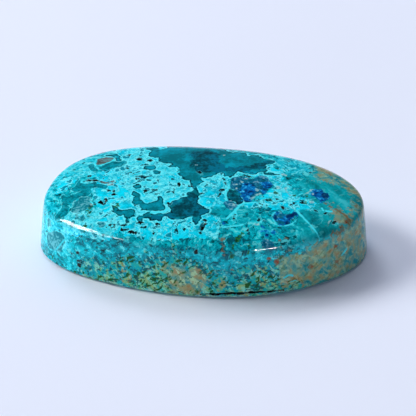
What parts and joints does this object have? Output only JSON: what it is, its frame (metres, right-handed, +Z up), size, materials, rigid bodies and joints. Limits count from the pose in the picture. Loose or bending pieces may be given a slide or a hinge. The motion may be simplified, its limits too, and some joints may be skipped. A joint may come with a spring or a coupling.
{
  "type": "azurite chrysocolla cabochon",
  "caption": "oval polished stone cabochon with a flat back, a steep girdle wall and a low dome, patterned in turquoise, teal and azurite blue",
  "frame": {"origin": "middle of the flat back, on the plane that the stone rests on", "axes": "+X along the stone's long axis, +Y across it, +Z up out of the dome"},
  "size_m": [0.038, 0.021, 0.008],
  "materials": {
    "polished_stone": "high polish on the dome and wall, fine-ground matt back; turquoise chrysocolla with teal pools, pockets of deep blue azurite, and green malachite and brown matrix low on the wall"
  },
  "bodies": {
    "root": {"cabochon": "polished_stone"}
  },
  "joints": []
}
